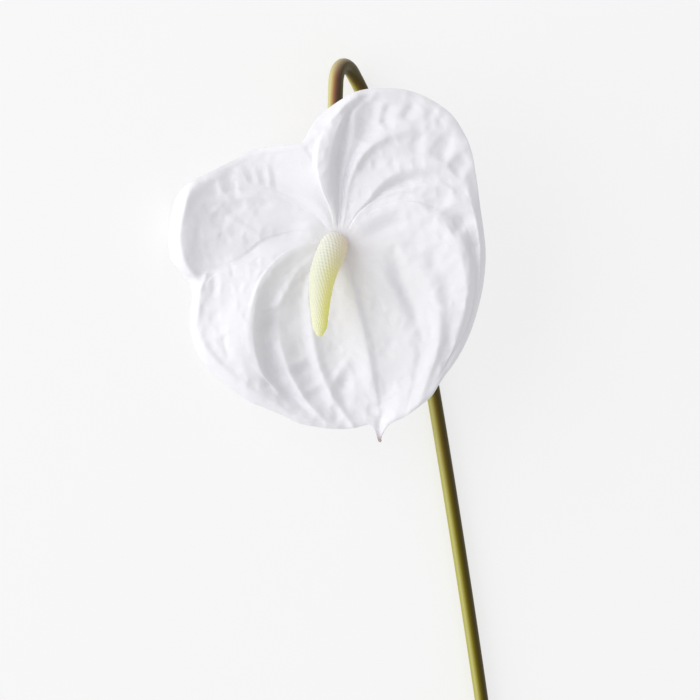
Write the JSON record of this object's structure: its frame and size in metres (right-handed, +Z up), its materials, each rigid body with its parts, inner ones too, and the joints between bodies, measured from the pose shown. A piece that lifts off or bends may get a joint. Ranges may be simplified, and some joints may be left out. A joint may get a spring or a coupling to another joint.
{
  "type": "cut anthurium stem",
  "caption": "Single cut anthurium: a hooked leafless stalk with one heart-shaped ribbed spathe and its spadix, lying on its side.",
  "frame": {"origin": "Middle of the lying flower's bounding box, on the surface it lies on", "axes": "+Z up off the surface; +Y along the stalk from its cut end towards the hook and the flower; +X to the right as one looks down with the flower at the top"},
  "size_m": [0.1664, 0.4654, 0.0513],
  "materials": {
    "stem": "Olive green stalk, yellow-green along one side and red-brown to dark along the other, satin, smooth and very finely grooved along its length",
    "spathe": "White bract with a cool grey cast in its furrows, soft satin, ribbed by its veins and puckered between them, faintly pink at its tip",
    "spadix": "Cream at its foot and pale yellow-green towards its tip, matte, covered with tiny florets"
  },
  "bodies": {
    "root": {"stem": "stem", "spathe": "spathe", "spadix": "spadix"}
  },
  "joints": []
}
